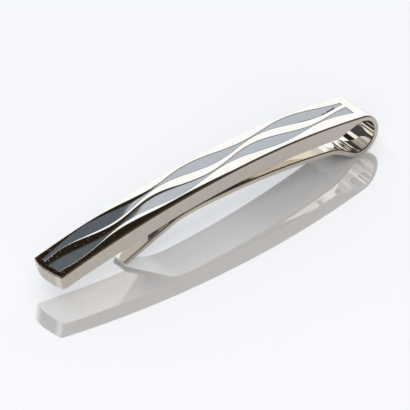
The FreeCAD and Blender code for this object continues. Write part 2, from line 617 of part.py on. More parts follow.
def main():
    doc = FreeCAD.newDocument("tie_clip")
    size, place = make_sheets(doc)
    bar = bar_blank(doc, size, place)
    seat = "Sizes.channel_depth - Sizes.inlay_clearance"
    channels = arched_sheet(doc, size, place, "ChannelSheet", "Sizes.channel_depth", f"-{CUT_MARGIN}")
    inlays = arched_sheet(doc, size, place, "InlaySheet", seat, f"{seat} - Sizes.inlay_thickness")
    for name, hand in (("upper_wave", 1), ("lower_wave", -1)):
        channel = band_solid(doc, size, place, f"{name}_channel", hand, 0.0, channels)
        bar = cut_from(doc, bar, channel, f"{name}_cut")
        inlay = band_solid(doc, size, place, f"{name}_band", hand, size["inlay_clearance"], inlays)
        inlay.Label = f"{name}_inlay"
    bar.Label = "front_bar"
    spring_bend(doc, size, place).Label = "spring_bend"
    back_leaf(doc, size, place).Label = "back_leaf"
    doc.recompute()
    check_document(doc)
    os.makedirs("parts", exist_ok=True)
    for label in NODES:
        doc.getObjectsByLabel(label)[0].Shape.exportStep(f"parts/{label}.step")


main()
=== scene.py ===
import math

import bpy
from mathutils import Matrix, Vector


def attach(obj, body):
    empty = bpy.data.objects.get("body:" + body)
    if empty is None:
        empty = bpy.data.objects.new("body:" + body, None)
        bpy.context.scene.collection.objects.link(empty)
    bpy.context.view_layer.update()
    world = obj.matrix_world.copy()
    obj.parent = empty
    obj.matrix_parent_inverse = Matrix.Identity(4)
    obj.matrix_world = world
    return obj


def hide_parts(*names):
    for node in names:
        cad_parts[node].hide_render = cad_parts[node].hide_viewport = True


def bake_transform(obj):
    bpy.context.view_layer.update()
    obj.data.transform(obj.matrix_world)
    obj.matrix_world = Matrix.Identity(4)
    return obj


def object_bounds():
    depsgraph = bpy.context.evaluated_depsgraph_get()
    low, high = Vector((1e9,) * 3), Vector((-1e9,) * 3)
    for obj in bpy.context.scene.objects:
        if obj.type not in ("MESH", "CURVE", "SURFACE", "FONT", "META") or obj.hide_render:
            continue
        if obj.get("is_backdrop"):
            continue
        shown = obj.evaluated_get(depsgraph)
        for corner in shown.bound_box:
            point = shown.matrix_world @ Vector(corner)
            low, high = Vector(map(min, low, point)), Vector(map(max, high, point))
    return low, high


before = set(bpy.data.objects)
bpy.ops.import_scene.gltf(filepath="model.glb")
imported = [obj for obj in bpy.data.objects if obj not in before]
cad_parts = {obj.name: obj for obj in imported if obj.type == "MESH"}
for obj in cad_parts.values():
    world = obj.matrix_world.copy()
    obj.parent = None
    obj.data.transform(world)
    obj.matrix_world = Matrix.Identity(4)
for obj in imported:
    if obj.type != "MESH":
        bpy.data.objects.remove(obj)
cad_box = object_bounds()

MM = 0.001

# Sizes of the clip in millimetres, the same as in the part's source.
HALF_LENGTH = 28.5
HALF_WIDTH = 3.0
BAR_THICKNESS = 2.37
ARCH_RADIUS = 163.0
SHOULDER_RADIUS = 110.7
BELLY_RADIUS = 180.0
CROWN_TO_LOOP = 20.76
END_BULGE = 0.5
END_CORNER = 0.45
EDGE_ROUND = 0.15
RAMP_LENGTH = 3.9
STRIP = 0.75
LOOP_RADIUS = 3.25
BEND_TOP = math.radians(40)
BEND_BOTTOM = math.radians(-50)
LEAF_RISE = math.radians(34.4)
KNEE_RADIUS = 6.0
LEAF_RADIUS = 117.6
PINCH_RADIUS = 25.5
PINCH_TO_LOOP = 30.2
PINCH_GAP = 0.2
TONGUE_BEND = math.radians(8.7)
TONGUE_BEND_RADIUS = 4.8
TONGUE_TAPER = 7.0
TONGUE_SHOULDER = 4.0
TONGUE_BULGE = 0.12
TONGUE_CORNER = 0.3
TONGUE_LIP = 0.4
WAVE_PITCH = 17.93
WAVE_START = 8.78
WAVE_LAG = 5.45
BAND_OFFSET = 4.15
RIM_WIDTH = 0.73
NECK_WIDTH = 0.21
RIBBON_NECK = 0.65
SWING_RATIO = 1.29
LEAD_FLARE = 0.35
LEAD_LENGTH = 12.8
END_MARGIN = 0.9
LOOP_MARGIN = 0.1
CHANNEL_DEPTH = 0.32
INLAY_CLEARANCE = 0.02

# Finer shapes that only the visible model has. Where they differ from the solids, they follow the photo.
CROWN_EXTRA = 0.12        # how much deeper the bar's wall is than the solid's, from the crown to the bend
FRONT_EXTRA = 0.36        # and at the front end
DEEPEN_START = -6.0       # x at which the wall starts to deepen toward the front end
DEEPEN_LENGTH = 8.0       # and the length over which it does
TONGUE_ANGLE = math.radians(31.7)  # 1 degree less than the solid's
TONGUE_TIP_HALF = 1.4     # half width of the tongue's tip, 0.4 more than the solid's
LIP_SHARE = 0.5           # how much of a full round the upper edge of the tongue's end has
UNDER_LIP_SHARE = 0.9     # and its lower edge
BAND_SHIFT = 0.18         # how much nearer to the far edge the bands lie than in the solids
SIDE_ROUND = 0.28         # the long edges of the outer faces, softened more by polishing than the ends
FALL_START = -2.07        # y at which the face starts to fall away to its near long edge, worn by polishing
FALL_RADIUS = 8.5         # and the radius of that fall, which dies out towards the bend
RIM_LINE = -2.3           # y of a line along the near rim, between the channel and the edge
BOW_KEPT = 1.4            # way from the front end up to which the cross lines run parallel to it
BOW_FADE = 3.4            # and the length over which they then straighten out
BOW_LIMIT = 5.0           # way by which they are straight, after which their radius stays as it is
LEAF_ROUND = 0.2          # inner edges of the leaf
LEAF_UNDER_ROUND = 0.1    # and its outer edges, which are crisper
LARGEST_INNER = 0.3       # the most of the strip's thickness that the rounding of its inner edges takes
PILLOW = 0.0305           # slant of the ribbons' faces at their edges, which makes them faintly domed
SOFT_ROUND = 0.1          # rounding of the ribbons' far edges over the bands, softened by polishing
CRISP_ROUND = 0.025       # rounding of the ribbons' near edges and of the channels' ends
UNDER_ROUND = 0.08        # the lower edges of the bar and the inner edges of the strip
INLAY_ROUND = 0.04        # upper edges of the grey bands
SHALLOW, DEEP = 0.05, 0.12  # depth of the grey bands under the face; the lower one is deep in front
RISE_START = -6.0         # x at which the lower band starts to rise to its shallow part
RISE_LENGTH = 8.0         # and the length over which it does
FACET_START, FACET_END = 17.0, 23.8  # x between which the near edge of the upper band has a facet
FACET_WIDTH = 0.3         # its width at its end, to which it grows from nothing
FACET_SLANT = math.radians(30)
HOLLOW = 0.0055           # slant of the bands' faces at their edges, which makes them faintly hollow

# How finely the meshes are divided.
STATION_STEP = 0.3        # spacing of the cross lines along the bar
SLIVER = 0.01             # width left for a wall that stands upright
SETTLE_ROUNDS = 6         # rounds in which a point settles where a cross line meets a wavy line
WIDE_STEPS = 7            # steps of the wide roundings: the bar's upper edges and the strip's outer edges
RIBBON_STEPS = 4          # of the ribbons' edges and the channels' ends
SMALL_STEPS = 3           # and of the other roundings
BEND_STEP = math.radians(0.75)   # spacing of points on the bend,
TIGHT_STEP = math.radians(1.5)   # on the leaf's tight arcs,
PINCH_STEP = math.radians(0.8)   # on its pinch
LONG_STEP = math.radians(0.3)    # and on its long arc

# Materials, with linear colours. The roughness of the polish and of the bands varies between two values.
NOISE_LOW, NOISE_HIGH = 0.3, 0.7  # the range that noise mostly keeps to
METAL_DARK, METAL_LIGHT = (0.848, 0.796, 0.733), (0.897, 0.849, 0.787)
POLISH_ROUGHNESS = (0.008, 0.025)
BAR_SATIN_SHADE, LEAF_SATIN_SHADE = (0.8, 0.76, 0.71), (0.54, 0.53, 0.515)  # colours of the satin undersides, darker than the polish as painted shade under the clip
BAR_SATIN_SHADE_FADE = (6.0, 12.0)  # x over which the bar's underside turns from satin with painted shade to polished
LEAF_SATIN_SHADE_FADE = (HALF_LENGTH, HALF_LENGTH + 1)  # past the bend, so all of the leaf's underside is satin with painted shade
SATIN_ROUGHNESS, SATIN_METALLIC = 0.12, 0.9
FACING_DOWN = (-0.8, -0.6)  # z of the normals over which a face stops being an underside
SPECKS_END = -6.0         # x at which the specks on the polish have died out
SPECK_CELLS = 3400        # cells in a metre, each of which may hold a speck
SPECK_SIZE = 0.3          # the largest radius of a speck, as a share of its cell
SPECK_ROUGHNESS = 0.3
BAND_DARK, BAND_LIGHT = (0.142, 0.171, 0.201), (0.165, 0.196, 0.228)
BAND_ROUGHNESS = (0.02, 0.045)
BAND_IOR = 3.7            # higher than that of enamel, for a stronger gloss
FLOOR_COLOUR = (0.94, 0.94, 0.945)
FLOOR_METALLIC = 0.37     # share of the floor that mirrors as metal does
FLOOR_ROUGHNESS = 0.03

# The studio: the wall in front, the wall at the back with its softbox, and the dark ceiling over
# the back half.
FRONT_WALL = (0.085, 0.062, 0.040)
BACK_WALL = (0.06, 0.062, 0.068)
CEILING = (0.022, 0.016, 0.011)
SOFTBOX = (1.12, 1.165, 1.22)
SOFTBOX_AZIMUTH = 50.0    # degrees from +X toward +Y
SOFTBOX_EDGE = (0.35, 0.6)  # cosines of the angles from its middle over which it fades in
BACK_HALF = (-0.05, 0.2)  # y of the directions over which the front wall gives way to the back half
WALL_TOP = (44.6, 44.9)   # degrees over which the lit wall gives way to the ceiling
# Smaller panels of light: azimuth, elevation, the angles over which they fade in, and how bright they are.
PANELS = ((119.5, 56.0, (13.5, 11.5), 1.0), (164.0, 38.0, (12.0, 5.0), 0.55))

# Places that follow from the sizes.
UPRIGHT = math.pi / 2
LOOP = (HALF_LENGTH - LOOP_RADIUS, LOOP_RADIUS)
INNER_RADIUS = LOOP_RADIUS - STRIP
CROWN_X = LOOP[0] - CROWN_TO_LOOP
SHOULDER_DROP = math.sqrt((SHOULDER_RADIUS - LOOP_RADIUS) ** 2 - CROWN_TO_LOOP ** 2)
CROWN_HEIGHT = LOOP_RADIUS - SHOULDER_DROP + SHOULDER_RADIUS
ARCH = (CROWN_X, CROWN_HEIGHT - ARCH_RADIUS)
SHOULDER = (CROWN_X, CROWN_HEIGHT - SHOULDER_RADIUS)
BELLY = (CROWN_X, CROWN_HEIGHT - BAR_THICKNESS - BELLY_RADIUS)
TOUCH = math.atan2(LOOP[1] - SHOULDER[1], LOOP[0] - SHOULDER[0])
TOUCH_X = LOOP[0] + LOOP_RADIUS * math.cos(TOUCH)
END_RADIUS = (HALF_WIDTH ** 2 + END_BULGE ** 2) / (2 * END_BULGE)
END_CENTRE = (END_RADIUS - HALF_LENGTH, 0.0)
FOOT_X = LOOP[0] - RAMP_LENGTH
BAND_FINISH = LOOP[0] - LOOP_MARGIN


def polar(centre, radius, angle):
    """The point at an angle on a circle."""
    return (centre[0] + radius * math.cos(angle), centre[1] + radius * math.sin(angle))


def smooth(value):
    """Ease from 0 to 1."""
    value = min(max(value, 0.0), 1.0)
    return value * value * (3 - 2 * value)


def quarter(steps):
    """Sine and rise of a quarter round, without its start."""
    angles = [UPRIGHT * step / steps for step in range(1, steps + 1)]
    return [(math.sin(angle), 1 - math.cos(angle)) for angle in angles]


def quarter_back(steps):
    """The same quarter round from its end back to its start, with both."""
    return [(1.0, 1.0)] + quarter(steps)[-2::-1] + [(0.0, 0.0)]


# The bar's side view

def face_at(x):
    """Height and outward normal of the bar's face at x."""
    if x > TOUCH_X:
        centre, radius = LOOP, LOOP_RADIUS
    elif x > CROWN_X:
        centre, radius = SHOULDER, SHOULDER_RADIUS
    else:
        centre, radius = ARCH, ARCH_RADIUS
    rise = math.sqrt(radius ** 2 - (x - centre[0]) ** 2)
    return centre[1] + rise, ((x - centre[0]) / radius, rise / radius)


def ramp_line():
    """The foot of the underside's ramp and the slope at which it runs into the bend."""
    belly = SHOULDER_RADIUS - BAR_THICKNESS
    foot = (FOOT_X, SHOULDER[1] + math.sqrt(belly ** 2 - (FOOT_X - SHOULDER[0]) ** 2))
    slope = math.atan2(LOOP[1] - foot[1], LOOP[0] - foot[0])
    slope += math.asin(INNER_RADIUS / math.dist(foot, LOOP))
    return foot, slope


RAMP_FOOT, RAMP_SLOPE = ramp_line()


def extra_depth(x):
    """How much deeper the visible bar is than the solid, in front of the crown."""
    return CROWN_EXTRA + (FRONT_EXTRA - CROWN_EXTRA) * smooth((DEEPEN_START - x) / DEEPEN_LENGTH)


def column(x):
    """Where the face is at x, which way the bar's depth runs there, and how deep it is."""
    height, normal = face_at(x)
    down = (-normal[0], -normal[1])
    if x <= CROWN_X:
        floor = BELLY[1] + math.sqrt(BELLY_RADIUS ** 2 - (x - BELLY[0]) ** 2)
        return height, down, (height - floor + extra_depth(x)) * normal[1]
    foot_x, foot_z = RAMP_FOOT
    along = (math.cos(RAMP_SLOPE), math.sin(RAMP_SLOPE))
    # Depth at which the line down from the face crosses the ramp's line.
    cross = down[0] * along[1] - down[1] * along[0]
    depth = ((foot_x - x) * along[1] - (foot_z - height) * along[0]) / cross
    return height, down, min(max(depth, STRIP), BAR_THICKNESS + CROWN_EXTRA)


def in_bar(x, y, depth):
    """A point under the bar's face, in metres."""
    height, down, _ = column(x)
    return Vector((x + depth * down[0], y, height + depth * down[1])) * MM


def fall(x, y):
    """How far the face has fallen away toward its near edge, and the sine of its slant there."""
    share = 1 - smooth((x - CROWN_X) / CROWN_TO_LOOP)
    beyond = max(FALL_START - y, 0.0)
    return share * beyond ** 2 / (2 * FALL_RADIUS), -share * beyond / FALL_RADIUS


# The wave bands

def band_edges(hand):
    """Inner and outer edge of a band, as y over x.

    Hand is 1 for the upper band and -1 for the lower one.
    """
    turn = 2 * math.pi / WAVE_PITCH
    lag = hand * WAVE_LAG
    crest = WAVE_START - (BAND_OFFSET if hand < 0 else 0)
    spread = math.sqrt(1 + SWING_RATIO ** 2 - 2 * SWING_RATIO * math.cos(turn * lag))
    squeeze = SWING_RATIO * abs(math.cos(turn * (BAND_OFFSET - 2 * WAVE_LAG) / 2))
    swing = (HALF_WIDTH - RIM_WIDTH - NECK_WIDTH - RIBBON_NECK / 2) / (1 + spread + squeeze)
    outer_middle = HALF_WIDTH - RIM_WIDTH - swing
    inner_middle = outer_middle - NECK_WIDTH - spread * swing

    def outer(x):
        way = x + HALF_LENGTH
        lead = min(max(way / LEAD_LENGTH, 0), 1) if hand > 0 else 1
        fullness = LEAD_FLARE * math.cos(UPRIGHT * lead) ** 2
        return hand * (outer_middle + swing * math.cos(turn * (way - crest)) + fullness) + BAND_SHIFT

    def inner(x):
        way = x + HALF_LENGTH
        wave = SWING_RATIO * swing * math.cos(turn * (way - crest + lag))
        return hand * (inner_middle + wave) + BAND_SHIFT

    return inner, outer


UPPER_INNER, UPPER_OUTER = band_edges(1)
LOWER_INNER, LOWER_OUTER = band_edges(-1)


def bowed_x(way, y):
    """X of a cross line that starts parallel to the curved front end and straightens out along the bar."""
    radius = END_RADIUS - min(way, BOW_LIMIT)
    bow = radius - math.sqrt(radius ** 2 - y ** 2)
    return way - HALF_LENGTH + bow * (1 - smooth((way - BOW_KEPT) / BOW_FADE))


def on_line(way, line, offset=0.0):
    """The point of a cross line that lies on a long line, which is a number or a function of x."""
    if not callable(line):
        return bowed_x(way, line + offset), line + offset
    y = 0.0
    for _ in range(SETTLE_ROUNDS):
        y = line(bowed_x(way, y)) + offset
    return bowed_x(way, y), y


# Meshes

class Shell:
    """Points with their normals, and the faces between them."""

    def __init__(self):
        self.points, self.normals, self.faces = [], [], []

    def add(self, point, normal):
        """Add a point and return its number."""
        self.points.append(point)
        self.normals.append(Vector(normal).normalized())
        return len(self.points) - 1

    def stitch(self, first, second):
        """Join two rows of points; neighbours that are one point give a triangle."""
        for a, b, c, d in zip(first, first[1:], second[1:], second):
            face = [a, b, c, d]
            self.faces.append([point for place, point in enumerate(face) if point not in face[:place]])

    def cap(self, ring, normal):
        """Close a ring with a face of its own points, so that it doesn't turn the normals beside it."""
        self.faces.append([self.add(self.points[index].copy(), normal) for index in ring])

    def piece(self, name, material):
        """A smooth-shaded mesh object."""
        mesh = bpy.data.meshes.new(name)
        mesh.from_pydata(self.points, [], self.faces)
        mesh.polygons.foreach_set("use_smooth", [True] * len(mesh.polygons))
        mesh.normals_split_custom_set_from_vertices(self.normals)
        mesh.materials.append(material)
        piece = bpy.data.objects.new(name, mesh)
        bpy.context.scene.collection.objects.link(piece)
        return piece


def tilted(normal, across, share):
    """A normal leant over to a direction across it; share is the sine of the lean."""
    return Vector(normal) * math.sqrt(1 - share ** 2) + Vector(across) * share


def across_line(line, x):
    """The level direction square to a long line at x."""
    slope = (line(x + SLIVER) - line(x - SLIVER)) / (2 * SLIVER) if callable(line) else 0.0
    return Vector((-slope, 1.0, 0.0)).normalized()


def belly_normal(x):
    """Outward normal of the bar's underside, below x on the face."""
    first, second = (in_bar(place, 0.0, column(place)[2]) for place in (x - SLIVER, x + SLIVER))
    run = second - first
    return Vector((run.z, 0.0, -run.x)).normalized()


def shelf(line, side):
    """Long lines of a ribbon's rounded edge: from the face over the rounding and down the channel's wall.

    Each is the line, the offset from it, the depth, and how far the normal leans over to the channel.
    """
    rounding = SOFT_ROUND if side > 0 else CRISP_ROUND
    lines = [(line, -side * rounding, 0.0, side * PILLOW)]
    for across, drop in quarter(RIBBON_STEPS):
        lines.append((line, -side * rounding * (1 - across), rounding * drop, side * across))
    lines.append((line, side * SLIVER / 2, CHANNEL_DEPTH - SLIVER, side))
    lines.append((line, side * SLIVER, CHANNEL_DEPTH, 0.0))
    return lines


def front_corner():
    """The near front corner of the face, inside the edge rounding.

    Gives the way from the end, the point, the outward angle and the rounding, which grows toward the side.
    """
    y = END_CORNER - HALF_WIDTH
    centre = (END_CENTRE[0] - math.sqrt((END_RADIUS - END_CORNER) ** 2 - y ** 2), y)
    start = math.atan2(y, centre[0] - END_CENTRE[0])
    steps = 8
    for step in range(steps + 1):
        angle = start + (-UPRIGHT - start) * step / steps
        rounding = EDGE_ROUND + (SIDE_ROUND - EDGE_ROUND) * step / steps
        point = polar(centre, END_CORNER - rounding, angle)
        yield END_RADIUS - math.dist(point, END_CENTRE), point, angle, rounding


def cross_lines():
    """Cross lines of the bar's face behind the front corners.

    Each is the way from the front end, the depth in the channels and the lean of the normal there. They are
    the rounded start of the channels, an even run, the channels' finish and the start of the bend.
    """
    finish = BAND_FINISH + HALF_LENGTH
    loop_start = TOUCH_X + HALF_LENGTH
    clear = finish + CRISP_ROUND
    edge = quarter(RIBBON_STEPS)
    gap_steps, turn_steps = 3, 40
    ways = [(END_MARGIN - CRISP_ROUND, 0.0, 0.0)]
    ways += [(END_MARGIN - CRISP_ROUND * (1 - across), CRISP_ROUND * drop, across) for across, drop in edge]
    count = round((finish - END_MARGIN) / STATION_STEP)
    for step in range(count + 1):
        way = END_MARGIN + SLIVER + (finish - END_MARGIN - 2 * SLIVER) * step / count
        ways.append((way, CHANNEL_DEPTH, 0.0))
    ways += [(clear - CRISP_ROUND * across, CRISP_ROUND * drop, -across) for across, drop in edge[::-1]]
    ways += [(clear + (loop_start - clear) * step / gap_steps, 0.0, 0.0) for step in range(gap_steps + 1)]
    for step in range(1, turn_steps + 1):
        angle = TOUCH + (BEND_TOP - TOUCH) * step / turn_steps
        ways.append((LOOP[0] + LOOP_RADIUS * math.cos(angle) + HALF_LENGTH, 0.0, 0.0))
    return ways


def front_bar(material):
    """The bar: a face with two sunk wave channels, rounded edges, side walls, belly and ramp."""
    shell = Shell()
    inset = HALF_WIDTH - SIDE_ROUND
    # The first line steadies the near rim, where the face falls away.
    lines = [(RIM_LINE, 0.0, 0.0, 0.0), *shelf(LOWER_OUTER, 1), *shelf(LOWER_INNER, -1)[::-1],
             *shelf(UPPER_INNER, 1), *shelf(UPPER_OUTER, -1)[::-1]]
    plan, rows, turns = [], [], []

    def add_row(way, near_end, angle, rounding, sunk=0.0, along_lean=0.0):
        """A cross row from its near end to the mirrored far end.

        The angle is that of the side wall's normal, and sunk is the depth that the channels have there.
        """
        row = []
        places = [(*on_line(way, line, offset), line, depth, lean) for line, offset, depth, lean in lines]
        ends = [(near_end[0], side * near_end[1], 0.0, 0.0, lean)
                for side, lean in ((1, 0.0), (-1, PILLOW))]
        for x, y, line, depth, lean in (ends[0], *places, ends[1]):
            up = face_at(x)[1]
            drop, slant = fall(x, y)
            facing = tilted((up[0], 0.0, up[1]), (0.0, 1.0, 0.0), slant)
            if depth < sunk:
                facing = tilted(facing, across_line(line, x), lean)
            elif min(depth, sunk) > 0:
                facing = tilted(facing, (1.0, 0.0, 0.0), along_lean)
            plan.append((x, y))
            row.append(shell.add(in_bar(x, y, drop + min(depth, sunk)), facing))
        rows.append(row)
        turns.append((angle, rounding))

    for corner in front_corner():
        add_row(*corner)
    for way, sunk, along_lean in cross_lines():
        add_row(way, on_line(way, -inset), -UPRIGHT, SIDE_ROUND, sunk, along_lean)
    for first, second in zip(rows, rows[1:]):
        shell.stitch(second, first)

    # The rim of the face, from the bend along the near side, round the front end and back along
    # the far side.
    sides = list(zip(rows, turns))
    rim = [(row[0], polar((0, 0), 1, angle), rounding) for row, (angle, rounding) in sides[::-1]]
    for index in rows[0][1:-1]:
        across = plan[index][1] / math.dist(plan[index], END_CENTRE)
        rim.append((index, (-math.sqrt(1 - across ** 2), across), EDGE_ROUND))
    rim += [(row[-1], polar((0, 0), 1, -angle), rounding) for row, (angle, rounding) in sides]

    def ring(place, lean, under=False):
        """A row of points round the rim.

        Place gives the push in plan and the depth from the rounding and the bar's depth there. Lean is the
        normal's level share.
        """
        row = []
        for index, outward, rounding in rim:
            push = place(rounding, 0.0)[0]
            x, y = plan[index][0] + outward[0] * push, plan[index][1] + outward[1] * push
            up = face_at(x)[1]
            facing = belly_normal(x) if under else Vector((up[0], 0.0, up[1]))
            depth = place(rounding, column(x)[2])[1]
            if not under:
                depth += fall(*plan[index])[0]
            row.append(shell.add(in_bar(x, y, depth), tilted(facing, (*outward, 0.0), lean)))
        return row

    rings = []
    for across, drop in quarter(WIDE_STEPS):
        rings.append(ring(lambda rounding, _: (rounding * across, rounding * drop), across))
    for across, drop in quarter_back(SMALL_STEPS):
        back, lift = UNDER_ROUND * (1 - across), UNDER_ROUND * drop
        rings.append(ring(lambda rounding, deep: (rounding - back, deep - lift), across, True))
    last = [index for index, _, _ in rim]
    for row in rings:
        shell.stitch(last, row)
        last = row

    # The belly has the same cross lines as the face.
    under = {index: shell.add(in_bar(*plan[index], column(plan[index][0])[2]), belly_normal(plan[index][0]))
             for row in rows for index in row}
    shell.stitch(last, [under[index] for index, _, _ in rim])
    for first, second in zip(rows, rows[1:]):
        shell.stitch([under[index] for index in first], [under[index] for index in second])

    cut = rows[-1] + [row[-1] for row in rings] + [under[index] for index in rows[-1][::-1]]
    cut += [row[0] for row in rings[::-1]]
    shell.cap(cut[::-1], (math.sin(BEND_TOP), 0.0, -math.cos(BEND_TOP)))
    return shell.piece("front_bar_shell", material)


def wave_inlay(name, hand, material):
    """A grey band: a thin arched slab with its upper edges rounded."""
    shell = Shell()
    inner, outer = band_edges(hand)
    low, high = (inner, outer) if hand > 0 else (outer, inner)
    base = CHANNEL_DEPTH - INLAY_CLEARANCE
    start, finish = END_MARGIN + INLAY_CLEARANCE, BAND_FINISH + HALF_LENGTH - INLAY_CLEARANCE
    count = round((finish - start) / STATION_STEP)
    lanes = 10
    margin = INLAY_CLEARANCE + INLAY_ROUND

    def top(x):
        """Depth of the band's face under the bar's."""
        if hand > 0:
            return SHALLOW
        return DEEP + (SHALLOW - DEEP) * smooth((x - RISE_START) / RISE_LENGTH)

    def facet(x, inside):
        """How far a place on the band lies within the facet of the upper band's near edge."""
        if hand < 0 or not FACET_START < x < FACET_END:
            return 0.0
        width = FACET_WIDTH * smooth((x - FACET_START) / (FACET_END - FACET_START))
        return max(width - inside, 0.0)

    def add(step, lane, out, lean, below=None, side=1):
        """A point of the slab; out pushes the rim towards the channel's wall, and the normal leans with it.

        The point is below the band's face by a depth, or on the slab's base where none is given.
        """
        along = (step == count) - (step == 0)
        across = (lane == lanes) - (lane == 0)
        way = start + INLAY_ROUND + (finish - start - 2 * INLAY_ROUND) * step / count + along * out
        near, far = on_line(way, low)[1] + margin, on_line(way, high)[1] - margin
        y = near + (far - near) * lane / lanes + across * out
        x = bowed_x(way, y)
        up = face_at(x)[1]
        outward = Vector((along, across, 0.0))
        if across and not along:
            outward = across * across_line(high if across > 0 else low, x)
        facing = side * Vector((up[0], 0.0, up[1]))
        if lean:
            facing = tilted(facing, outward.normalized(), lean)
        else:
            slant = HOLLOW * (1 - 2 * lane / lanes)
            if side > 0 and facet(x, y - near) > 0:
                slant = -math.sin(FACET_SLANT)
            facing = tilted(facing, (0.0, 1.0, 0.0), slant)
        depth = base
        if below is not None:
            depth = min(top(x) + below + facet(x, y - near) * math.tan(FACET_SLANT), base - SLIVER)
        return shell.add(in_bar(x, y, depth), facing)

    rows = [[add(step, lane, 0.0, 0.0, 0.0) for lane in range(lanes + 1)] for step in range(count + 1)]
    for first, second in zip(rows, rows[1:]):
        shell.stitch(second, first)
    rim = [(step, 0) for step in range(count, 0, -1)] + [(0, lane) for lane in range(lanes)]
    rim += [(step, lanes) for step in range(count)] + [(count, lane) for lane in range(lanes, 0, -1)]
    last = [rows[step][lane] for step, lane in rim]
    levels = [(INLAY_ROUND * across, across, INLAY_ROUND * drop) for across, drop in quarter(SMALL_STEPS)]
    for level in (*levels, (INLAY_ROUND, 1.0)):
        row = [add(step, lane, *level) for step, lane in rim]
        shell.stitch(last + last[:1], row + row[:1])
        last = row
    under = [[add(step, lane, 0.0, 0.0, side=-1) for lane in range(lanes + 1)] for step in range(count + 1)]
    edge = [under[step][lane] for step, lane in rim]
    shell.stitch(last + last[:1], edge + edge[:1])
    for first, second in zip(under, under[1:]):
        shell.stitch(first, second)
    return shell.piece(name, material)


# The strip of the bend and the leaf

def strip_section(half, thick, inner, outer):
    """Points of a section of the strip, with a rounding for the edges of each of its faces.

    Each is a place across the width, a depth under the inner face, and the normal's two shares, across the
    width and along the inner face's normal.
    """
    inner = min(inner, LARGEST_INNER * thick)
    section = [(half - inner, 0.0, 0.0, 1.0)]
    for across, drop in quarter(SMALL_STEPS):
        section.append((half - inner * (1 - across), inner * drop, across, 1 - drop))
    for across, drop in quarter_back(WIDE_STEPS):
        section.append((half - outer * (1 - across), thick - outer * drop, across, drop - 1))
    mirrored = [(-place, depth, -level, facing) for place, depth, level, facing in section[::-1]]
    return section + mirrored


def sweep_strip(name, stations, material):
    """A strip swept along stations.

    Each is a point, the inner face's normal, the half width, and both faces' insets and roundings.
    """
    shell = Shell()
    rows = []
    for (x, z), (nx, nz), half, (above, below), roundings in stations:
        row = []
        for place, depth, level, facing in strip_section(half, STRIP - above - below, *roundings):
            down = depth + above
            row.append(shell.add(Vector((x - nx * down, place, z - nz * down)) * MM,
                                 (facing * nx, level, facing * nz)))
        rows.append(row)
    for first, second in zip(rows, rows[1:]):
        shell.stitch(first + first[:1], second + second[:1])
    for row, (nx, nz), side in ((rows[0], stations[0][1], 1), (rows[-1], stations[-1][1], -1)):
        shell.cap(row[::-side], (side * nz, 0.0, -side * nx))
    return shell.piece(name, material)


def on_arc(centre, radius, first, last, spacing):
    """Points along an arc, each with its direction from the centre."""
    count = max(2, math.ceil(abs(last - first) / spacing))
    angles = [first + (last - first) * step / count for step in range(count + 1)]
    return [(polar(centre, radius, angle), (math.cos(angle), math.sin(angle))) for angle in angles]


def spring_bend(material):
    """The hairpin bend, whose inner face looks at the bend's centre."""
    arc = on_arc(LOOP, INNER_RADIUS, BEND_TOP, BEND_BOTTOM, BEND_STEP)
    stations = []
    for step, (point, normal) in enumerate(arc):
        share = smooth(step / (len(arc) - 1))
        inner = UNDER_ROUND + (LEAF_ROUND - UNDER_ROUND) * share
        outer = SIDE_ROUND + (LEAF_UNDER_ROUND - SIDE_ROUND) * share
        stations.append((point, (-normal[0], -normal[1]), HALF_WIDTH, (0.0, 0.0), (inner, outer)))
    return sweep_strip("spring_bend_strip", stations, material)


